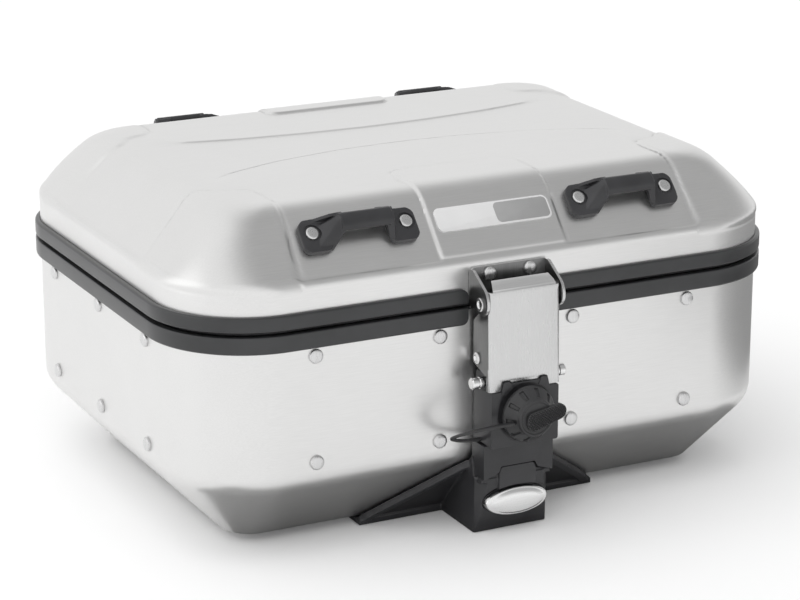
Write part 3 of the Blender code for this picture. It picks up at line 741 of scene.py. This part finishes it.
def build_rivet_rows():
    """Two rows of domed rivets on every wall, each row closed on a backing strip inside the wall."""
    inside = SHEET + GAP
    thick, half_high = 2, 3.2
    for row in ("upper", "lower"):
        for side in ("front", "back", "left", "right"):
            node = f"rivet_strip_{side}_{row}"
            low, high = box_mm(node)
            z = (low[2] + high[2]) / 2
            sign = -1 if side in ("front", "left") else 1
            if side in ("front", "back"):
                spots = [((x, sign * WALL_Y, z), (0, sign, 0)) for x in RIVET_X]
                near, far = sorted(sign * (WALL_Y - inside - t) for t in (0, thick))
                strip = cuboid(-152, 152, near, far, z - half_high, z + half_high)
            else:
                spots = [((sign * WALL_X, y, z), (sign, 0, 0)) for y in RIVET_Y]
                near, far = sorted(sign * (WALL_X - inside - t) for t in (0, thick))
                strip = cuboid(near, far, -96, 96, z - half_high, z + half_high)
            heads = [placed(rivet(0.1, 5.0, 2.2, inner=-inside - 1), along(at, out)) for at, out in spots]
            shape = merged(strip, *heads)
            make_piece(f"rivets_{side}_{row}", shape, RIVET, "case_body", (node,))


def chamfer_frame():
    """Axes on the front sloped face at its lower edge: local X across, Y up the slope, Z out of it."""
    rise = Vector((0, -CHAMFER_INSET, CHAMFER_RISE)).normalized()
    across = Vector((1, 0, 0))
    return frame_at((0, -WALL_Y + CHAMFER_INSET, BODY_BOTTOM), across, rise, across.cross(rise))


def nose_level(y, z, chamfer, rear):
    """One level of the nose: chamfered front corners and a straight back."""
    half = NOSE_HALF
    front = [(-half, y + chamfer, z), (-half + chamfer * 0.8, y, z), (half - chamfer * 0.8, y, z)]
    return [(-half, rear, z)] + front + [(half, y + chamfer, z), (half, rear, z)]


def build_base():
    """The black base moulding: plate, nose with tongue and oval socket, and lipped webs along the slope."""
    plate = prism(rounded(-152, 152, -107, 107, 24, 10), 0, BODY_BOTTOM - 0.6, "Z")
    shapes = [plate, cuboid(-92, 92, -129.5, -100, 0, 3.9)]
    rear = -128.0
    levels = [nose_level(NOSE_FRONT + 0.5, 0.0, 0.5, rear), nose_level(NOSE_FRONT, 1.2, 0.8, rear)]
    for t in (0.1, 0.35, 0.6, 0.8, 0.92, 1.0):
        z = NOSE_TOP * t
        behind = min(-126.0 - (z - 4) * NOSE_BACK_LEAN, rear)
        levels.append(nose_level(NOSE_FRONT - NOSE_LEAN * t, z, 0.8 + 8.0 * t, behind))
    shapes.append(loft(levels))
    place = chamfer_frame()
    top = ((27.0, 38.0), (26.0, 40.9), (13.8, 44.2), (10.0, 44.2), (10.0, 38.0))
    fin = [(-176.0, 0.5), (-130.0, 5.0), (-169.2, 51.0), (-172.4, 54.6), (-174.2, 50.0), (-175.6, 40.0)]
    web = ((20, 0.5), (90, 0.5), (85, 5.5), (31, 58), (27.6, 58), (27.6, 42), (20, 42))
    edge = ((80, 5.6), (84, 0.5), (91, 0.5), (87, 6.5), (33.5, 58.4), (27.2, 62.5), (27.2, 57.8))
    for side in (-1, 1):
        shapes.append(prism([(side * x, z) for x, z in top], -184.6, -165.0, "Y"))
        shapes.append(side_slab(fin, side, 25.0, NOSE_HALF))
        for outline, height in ((web, 3.0), (edge, 6.0)):
            shapes.append(placed(prism([(side * x, y) for x, y in outline], 0.8, height, "Z"), place))
    tongue = [(-12.4, 48.7), (12.4, 48.7), (14.2, 44.6), (14.2, 26.0), (-14.2, 26.0), (-14.2, 44.6)]
    shapes.append(prism(softened(tongue, 1.6), -187.2, -180.0, "Y"))
    base = mesh_object("base_moulding", merged(*shapes))
    melt(base, 0.7, 2, 0.22)
    for half_width, half_height, depth in ((26.6, 12.0, -181.4), (24.3, 10.4, -172.5)):
        carve(base, prism(ellipse(0, BUTTON_Z, half_width, half_height, 72, 2.1), -200, depth, "Y"))
    finish_piece(base, PLASTIC, "case_body", ("base_plate",), sharp=45.0)


def domed(section, steps):
    """Rings that shrink towards a centre line: (scale, depth) pairs applied to an outline in X and Z."""
    cx = sum(p[0] for p in section) / len(section)
    cz = sum(p[1] for p in section) / len(section)
    return loft([[(cx + (x - cx) * s, y, cz + (z - cz) * s) for x, z in section] for s, y in steps])


def build_release():
    """The bright oval button: a rolled rim and a raised lens."""
    section = ellipse(0, BUTTON_Z, 24.0, 10.1, 96, 2.05)
    rim = [(1.0, -178.8), (1.0, -184.0), (0.99, -185.6), (0.96, -186.8), (0.92, -187.3), (0.88, -187.4)]
    lens = [(0.85, -187.5), (0.82, -187.8), (0.76, -188.4), (0.66, -189.0), (0.5, -189.4), (0.3, -189.6)]
    button = mesh_object("oval_button", domed(section, rim + lens + [(0.12, -189.7)]))
    finish_piece(button, BRIGHT_STEEL_AND_PAINTED_HIGHLIGHT, "release_button", ("release_button",), sharp=60.0)


def build_blocks():
    """The lock housing with its lugs and cheeks, and the lower housing notched over the nose."""
    half, front = HOUSING_HALF, HOUSING_FRONT
    block = prism(rounded(-half, half, 66.2, 105.6, 1.6), front, HOUSING_BACK, "Y")
    housing = mesh_object("lock_housing", block)
    lug = ((8.4, 103), (10.2, 108.4), (11.9, 112.3), (16.5, 112.3), (18.6, 103))
    cheek = [(-190.0, 104.8), (-190.0, 112), (-187, 116.2), (-173, 116.2), (-171.2, 112), (-171.2, 104.8)]
    for side in (-1, 1):
        outline = softened([(side * x, z) for x, z in lug], 1.2)
        carve(housing, prism(outline, front - 0.9, -191.0, "Y"), "UNION")
        carve(housing, side_slab(cheek, side, 22.3, 24.6), "UNION")
    carve(housing, cuboid(-12.0, 12.0, front, -191.0, 103.0, 110.8), "UNION")
    round_edges(housing, 0.8, 3)
    carve(housing, placed(turned([(20.6, -1.0), (20.6, 3.0)], 72), along((0, front, LOCK_Z), (0, -1, 0))))
    finish_piece(housing, PLASTIC, "case_body", ("lock_block",), sharp=25.0)

    section = [(-187.8, 38), (-187.8, 65.6), (-170.4, 65.6), (-170.4, 54.5), (-167.6, 49.5)]
    section += [(-160.2, 41.2), (-160.2, 38)]
    lower = mesh_object("lower_housing", prism(section, -26.6, 26.6, "X"))
    under = [(-30, 30), (-30, 40.1), (-26.6, 41.2), (-14.9, 45.0), (-13.0, 49.3)]
    carve(lower, prism(softened(under + mirrored(under), 0.9, 3), -200, -150, "Y"))
    round_edges(lower, 0.5, 3)
    finish_piece(lower, PLASTIC, "case_body", ("lower_block",), sharp=25.0)


# ---------------------------------------------------------------- latch


def build_bracket():
    """The U-shaped bracket on the lid with its two rivets, and the headed pins of the lever and the claw."""
    back = -WALL_Y - GAP
    face = back - 2.0
    inner, outer = 27.6, 29.6
    plate = [(-outer, 159.4), (outer, 159.4), (outer, 184.5), (27.2, 187), (-27.2, 187), (-outer, 184.5)]
    bracket = mesh_object("hinge_bracket", prism(softened(plate, 1.0), face, back, "Y"))
    ear = softened(
        [(back, 185.8), (-174.6, 186.6), (-193.4, 175.4), (-196.2, 169.5), (-196.0, 164.0), (-192.0, 159.0),
         (-185.5, 158.2), (-178.0, 160.8), (back, 161.0)], 3.0
    )
    for side in (-1, 1):
        carve(bracket, side_slab(ear, side, inner, outer), "UNION")
    round_edges(bracket, 0.45, 3)
    finish_piece(bracket, (STAINLESS, STAINLESS_PAINTED_SHADE), "lid", ("lid_bracket",))
    # Painted shade: the ears' side faces and the plate's front face, which sits behind the lever, take the
    # darker stainless.
    paint_shade_and_highlight_on_faces(bracket, 1, lambda c, n: abs(n.x) > 0.9 or (n.y < -0.9 and abs(c.x) < inner - 0.1))
    for hand, x in (("left", -15.4), ("right", 15.4)):
        node = f"bracket_rivet_{hand}"
        head = placed(rivet(0.1, 4.8, 2.6, inner=-5), along((x, face, 181.8), (0, -1, 0)))
        make_piece(f"{node}_head", head, RIVET, "lid", (node,))
    for name, (y, z), half, radius, body, node in (
        ("lever_pin", LEVER_PIVOT, 31.4, 4.6, "lid", "lever_pivot_pin"),
        ("claw_pin", CLAW_PIVOT, 28.7, 4.0, "lever", "claw_pivot_pin"),
    ):
        seat = half - 1.5
        dished = [(1.4, half - 0.9), (2.2, half - 0.9), (2.8, half), (radius - 0.8, half)]
        pin = cross_pin(dished + [(radius, half - 0.5), (radius, seat), (2.4, seat)], y, z, 36)
        make_piece(name, pin, BRIGHT_STEEL_AND_PAINTED_HIGHLIGHT, body, (node,))


def channel_ring(z, front, back, half, thick):
    """One level of a U-shaped channel open towards +Y."""

    def side(h, f, r):
        corners = arc(-h + r, f + r, r, 180, 270, 5) + arc(h - r, f + r, r, 270, 360, 5)
        return [(-h, back)] + corners + [(h, back)]

    return [(x, y, z) for x, y in side(half, front, 2.4) + side(half - thick, front + thick, 0.5)[::-1]]


def build_lever():
    """The pressed lever: a plate with side flanges, a bent top edge and notched tabs at the bottom."""
    low, foot, lean = 106.0, -195.5, 2.0 / 69.0
    levels = [(low, -190.4), (116.2, -190.2), (116.7, -187.4), (121.4, -172.4), (122.0, -172.0)]
    levels += [(150.0, -172.0), (151.0, -172.4), (158.5, -180.2), (159.5, -180.5), (171.0, -180.8)]
    levels += [(174.8, -184.2)]
    rings = [channel_ring(z, foot + (z - low) * lean, back, 27.0, 1.9) for z, back in levels]
    lever = mesh_object("lever_plate", loft(rings))
    thick = 1.35
    bend = ((-193.5, 173.6, 24.0), (-192.6, 176.2, 23.8), (-190.6, 178.2, 23.2), (-186.0, 181.2, 21.6))
    top = []
    for y, z, half in bend:
        inside = [(half, y + thick, z - thick), (-half, y + thick, z - thick)]
        top.append([(-half, y, z), (half, y, z)] + inside)
    carve(lever, loft(top), "UNION")
    notch = [(19.6, 98.0), (17.0, 112.8), (11.4, 112.8), (10.4, 111.2)]
    carve(lever, prism(softened(notch + mirrored(notch), 1.2), -202, -186, "Y"))
    round_edges(lever, 0.35)
    finish_piece(lever, (STAINLESS, STAINLESS_PAINTED_SHADE, BRIGHT_STEEL_AND_PAINTED_HIGHLIGHT), "lever", ("latch_lever",), 25.0)
    # Painted shade: the flanges' side faces take the darker stainless. Painted highlight: the upward faces of
    # the bent top edge take the bright steel.
    paint_shade_and_highlight_on_faces(lever, 1, lambda c, n: abs(n.x) > 0.9 and c.y > -193.0)
    paint_shade_and_highlight_on_faces(lever, 2, lambda c, n: n.z > 0.3 and c.z > 174.5)


def build_catch():
    """The cross pin that the claw hangs in front of, with a groove near each end."""
    low, high = box_mm("catch_pin")
    half, groove = high[0], 4.9
    radius = 4.1
    side = [(3.4, half), (radius, half - 0.7), (radius, half - groove + 0.5), (3.6, half - groove)]
    side += [(3.6, half - groove - 0.6), (radius, half - groove - 1.1)]
    pin = cross_pin(side, (low[1] + high[1]) / 2, (low[2] + high[2]) / 2, 40)
    make_piece("catch_bar", pin, BRIGHT_STEEL_AND_PAINTED_HIGHLIGHT, "case_body", ("catch_pin",))


def build_cap():
    """The dust cap: a cone with ten sunken panels, a raised disc with a rolled rim, and the grip on it."""
    back = box_mm("dust_cap")[1][1]
    steps, panel_turn = 240, 36.0
    cone = [
        (19.4, -1.0, 0), (19.4, 1.0, 0), (19.2, 1.8, 0), (18.7, 2.4, 0), (18.3, 2.9, 1.3), (17.0, 4.4, 1.3),
        (15.4, 6.4, 1.3), (14.2, 8.0, 1.3), (13.8, 8.6, 0),
    ]
    disc = [
        (13.3, 9.4, 0), (13.1, 10.6, 0), (12.7, 11.4, 0), (12.0, 11.7, 0), (11.2, 11.5, 0), (10.8, 11.1, 0),
        (6.0, 11.1, 0), (2.0, 11.1, 0),
    ]
    rings = []
    for r, h, depth in cone + disc:
        ring = []
        for k in range(steps):
            a = 2 * math.pi * k / steps
            turn = math.degrees(a) % panel_turn
            groove = depth * (smooth_step(turn, 0, 2) - smooth_step(turn, 9, 11))
            reach = r - groove * 0.6
            ring.append((reach * math.cos(a), reach * math.sin(a), h - groove * 0.8))
        rings.append(ring)
    cap = mesh_object("cap_disc", placed(loft(rings), along((0, back, LOCK_Z), (0, -1, 0))))
    finish_piece(cap, RUBBER, "dust_cap", ("dust_cap",), sharp=28.0)
    build_grip(back)


def build_grip(back):
    """The grip bar, its face cut with a diamond pattern and its line tipped up to the right."""
    x0, x1, half = -8.0, 22.0, 5.0
    nx, nz = 150, 50
    foot, face, pitch = 10.2, 14.0, 2.0
    tilt = math.radians(11)
    points, faces = [], []
    for i in range(nx + 1):
        for j in range(nz + 1):
            x, z = x0 + (x1 - x0) * i / nx, -half + 2 * half * j / nz
            end, start = x1 - half, x0 + half
            reach = math.hypot(max(x - end, 0), z) if x > end else math.hypot(max(start - x, 0), z)
            if reach > half:
                centre = end if x > end else start
                x, z = centre + (x - centre) * half / reach, z * half / reach
                reach = half
            inside = min(half - reach, 1.0)
            cut = min(0.5 - abs(((x + z) / pitch) % 1 - 0.5), 0.5 - abs(((x - z) / pitch) % 1 - 0.5))
            height = face - 0.9 * (1 - inside) ** 2 + (min(cut / 0.34, 1.0) - 1.0) * min(inside * 2, 1.0)
            left = (x1 - x) / (x1 - x0)
            points.append((x, height, z * (1 + 0.42 * left) - 1.6 * left))
    for i in range(nx):
        for j in range(nz):
            a = i * (nz + 1) + j
            faces.append((a, a + 1, a + nz + 2, a + nz + 1))
    rim = [i * (nz + 1) for i in range(nx + 1)] + [nx * (nz + 1) + j for j in range(1, nz + 1)]
    rim += [i * (nz + 1) + nz for i in range(nx - 1, -1, -1)] + list(range(nz - 1, 0, -1))
    count = len(points)
    points += [(points[k][0], foot, points[k][2]) for k in rim]
    for k in range(len(rim)):
        m = (k + 1) % len(rim)
        faces.append((rim[k], rim[m], count + m, count + k))
    faces.append(tuple(range(count, len(points))))
    c, s = math.cos(tilt), math.sin(tilt)
    tilted = [(x * c - z * s, back - h, LOCK_Z + x * s + z * c) for x, h, z in points]
    grip = mesh_object("cap_grip", (tilted, faces))
    clean = bmesh.new()
    clean.from_mesh(grip.data)
    bmesh.ops.remove_doubles(clean, verts=clean.verts, dist=0.02 * MM)
    clean.to_mesh(grip.data)
    clean.free()
    finish_piece(grip, RUBBER, "dust_cap", (), sharp=50.0)


def smooth_curve(points, steps):
    """Points on a Catmull-Rom curve through the given ones."""
    p = [Vector(v) for v in points]
    p = [p[0] * 2 - p[1]] + p + [p[-1] * 2 - p[-2]]
    result = []
    for k in range(1, len(p) - 2):
        a, b, c, d = p[k - 1 : k + 3]
        squared, cubed = 2 * a - 5 * b + 4 * c - d, 3 * b - a - 3 * c + d
        for s in range(steps):
            t = s / steps
            result.append(0.5 * ((2 * b) + (c - a) * t + squared * t**2 + cubed * t**3))
    return result + [p[-2]]


def build_strap():
    """The flat rubber strap from the cap out to the left and back to the lock housing.

    Its first bit rides the cap, and the rest rides the case.
    """
    route = [
        (-15.2, -207.6, 86.8), (-21.5, -207.2, 86.6), (-29, -206.0, 86.0), (-38, -203.8, 84.8),
        (-46, -199.0, 82.2), (-51, -191.5, 77.8), (-48, -184.9, 73.2), (-39.5, -182.0, 70.4),
        (-32, -181.0, 69.2), (-25.9, -180.4, 68.8),
    ]
    line = smooth_curve(route, 8)
    rings = []
    for k, here in enumerate(line):
        run = (line[min(k + 1, len(line) - 1)] - line[max(k - 1, 0)]).normalized()
        side = run.cross(Vector((0, 0, 1))).normalized()
        up = side.cross(run)
        rings.append([tuple(here + side * a * 2.0 + up * b * 1.05) for a, b in rounded(-1, 1, -1, 1, 0.6, 3)])
    parting = 8
    root, rest = rings[: parting + 1], rings[parting:]
    make_piece("tether_root", loft(root), RUBBER, "dust_cap", (), sharp=60.0)
    make_piece("cap_tether", loft(rest), RUBBER, "case_body", ("cap_strap",), sharp=60.0)


# ---------------------------------------------------------------- nodes that keep their CAD shape


def dress(names, material, bevel):
    """Gives CAD nodes a finish and softened edges."""
    for name in names:
        node = frame["nodes"][name]
        node.data.materials.clear()
        node.data.materials.append(material)
        step = node.modifiers.new("edges", "BEVEL")
        step.width, step.segments, step.limit_method = bevel * MM, 2, "ANGLE"
        step.angle_limit = math.radians(40)


def dress_kept_nodes():
    hands = ("left", "right")
    dress([f"hinge_{half}_leaf_{hand}" for half in ("body", "lid") for hand in hands], STAINLESS, 0.4)
    dress([f"hinge_pin_{hand}" for hand in hands], BRIGHT_STEEL_AND_PAINTED_HIGHLIGHT, 0.3)
    dress([f"base_screw_{row}_{hand}" for row in ("front", "back") for hand in hands], STAINLESS, 0.2)
    # Painted shade: the claw, cam, bolt and barrel, which sit inside the latch, take the darker stainless.
    dress(["claw", "lock_cam", "release_bolt", "lock_barrel"], STAINLESS_PAINTED_SHADE, 0.25)
    dress(["lock_plug"], BRIGHT_STEEL_AND_PAINTED_HIGHLIGHT, 0.15)
    dress(["release_spring"], STAINLESS, 0.05)
    dress(["floor_mat"], RUBBER, 0.5)


# ---------------------------------------------------------------- studio


DARK_PATCH = (0.58, -0.25, 0.77)
SKY_BRIGHT, SKY_DARK = 0.90, 0.42
SUN_STRENGTH, FLOOR_LIFT = 1.3, 0.08
FLOOR_HALF = 9000
SOFT_BOX = dict(place=(-2.2, 0.4, 0.7), size=2.4, power=5.0)
CAMERA_AT, CAMERA_LENS, CAMERA_SENSOR = (-0.87081, -1.73916, 0.71696), 125.87, 36.0
CAMERA_DOWN, CAMERA_TURN = 17.242, -26.72


def flat(name, x0, x1, y0, y1, z):
    """A level rectangle."""
    return mesh_object(name, ([(x0, y0, z), (x1, y0, z), (x1, y1, z), (x0, y1, z)], [(0, 1, 2, 3)]))


def matt(name, value, roughness):
    """A plain grey surface without sheen, for the studio only."""
    n = Nodes(name, grey(value), roughness, 0.0)
    n.shader.inputs["Specular IOR Level"].default_value = 0.0
    return n


def shade_card(name, x0, x1, y0, y1, value):
    """A flat grey card on the floor that is only seen in reflections: painted shade in what the metal
    reflects.
    """
    plane = flat(name, x0, x1, y0, y1, -0.2)
    plane.data.materials.append(matt(name, value, 1.0).material)
    plane.visible_camera = plane.visible_diffuse = plane.visible_shadow = False


def build_floor():
    """A pale floor, a little brighter where the camera sees it, and three grey cards that paint shade into
    reflections.
    """
    floor = flat("floor", -FLOOR_HALF, FLOOR_HALF, -FLOOR_HALF, FLOOR_HALF, 0)
    floor.location.z = -0.0005
    n = matt("studio_floor", 0.86, 0.9)
    n.shader.inputs["Emission Color"].default_value = (1, 1, 1, 1)
    seen = n.tree.nodes.new("ShaderNodeLightPath").outputs["Is Camera Ray"]
    n.link(n.math("MULTIPLY", seen, FLOOR_LIFT), n.shader.inputs["Emission Strength"])
    floor.data.materials.append(n.material)
    # Painted shade in reflections: the cards under the case and by its front left corner stand in for the
    # shadowed floor there, and the one on the right darkens what the right faces reflect.
    shade_card("shade_card_under", -150, 260, -190, 150, 0.30)
    shade_card("shade_card_corner", -235, -150, -190, -112, 0.34)
    shade_card("shade_card_right", 400, 1600, -700, 1400, 0.25)


def build_sky():
    """A bright sky with a darker patch to the right of overhead, and plain white behind the floor."""
    world = bpy.data.worlds.new("studio")
    bpy.context.scene.world = world
    world.use_nodes = True
    tree = world.node_tree
    coords = tree.nodes.new("ShaderNodeTexCoord")
    toward = tree.nodes.new("ShaderNodeVectorMath")
    toward.operation = "DOT_PRODUCT"
    toward.inputs[1].default_value = Vector(DARK_PATCH).normalized()
    tree.links.new(coords.outputs["Generated"], toward.inputs[0])
    sky = tree.nodes.new("ShaderNodeMapRange")
    sky.interpolation_type = "SMOOTHSTEP"
    for key, number in (("From Min", 0.45), ("From Max", 0.92), ("To Min", SKY_BRIGHT), ("To Max", SKY_DARK)):
        sky.inputs[key].default_value = number
    tree.links.new(toward.outputs["Value"], sky.inputs["Value"])
    path = tree.nodes.new("ShaderNodeLightPath")
    white = tree.nodes.new("ShaderNodeMix")
    white.data_type = "RGBA"
    white.inputs["B"].default_value = (1, 1, 1, 1)
    tree.links.new(path.outputs["Is Camera Ray"], white.inputs["Factor"])
    tree.links.new(sky.outputs["Result"], white.inputs["A"])
    tree.links.new(white.outputs["Result"], tree.nodes["Background"].inputs["Color"])


def build_lights():
    """A very soft sun from above and one soft box on the left."""
    sun = bpy.data.lights.new("sun", "SUN")
    sun.energy, sun.angle = SUN_STRENGTH, math.radians(80)
    lamp = bpy.data.objects.new("sun", sun)
    lamp.rotation_euler = Vector((0.25, 0.1, -1)).to_track_quat("-Z", "Y").to_euler()
    lamp.visible_glossy = False
    bpy.context.scene.collection.objects.link(lamp)
    box = bpy.data.lights.new("left", "AREA")
    box.shape, box.size, box.energy = "DISK", SOFT_BOX["size"], SOFT_BOX["power"]
    light = bpy.data.objects.new("left", box)
    light.location = SOFT_BOX["place"]
    light.rotation_euler = (Vector((0, 0, 0.1)) - light.location).to_track_quat("-Z", "Y").to_euler()
    bpy.context.scene.collection.objects.link(light)


def build_camera():
    data = bpy.data.cameras.new("camera")
    data.lens, data.sensor_width = CAMERA_LENS, CAMERA_SENSOR
    camera = bpy.data.objects.new("camera", data)
    camera.location = CAMERA_AT
    camera.rotation_euler = (math.radians(90 - CAMERA_DOWN), 0, math.radians(CAMERA_TURN))
    bpy.context.scene.collection.objects.link(camera)
    bpy.context.scene.camera = camera


bpy.context.scene.view_settings.view_transform = "Standard"
build_camera()
build_floor()
build_sky()
build_lights()
build_body_shell()
build_frames()
build_rivet_rows()
build_base()
build_release()
build_blocks()
build_lid_shell()
build_loops()
build_badge()
build_bracket()
build_lever()
build_catch()
build_cap()
build_strap()
dress_kept_nodes()
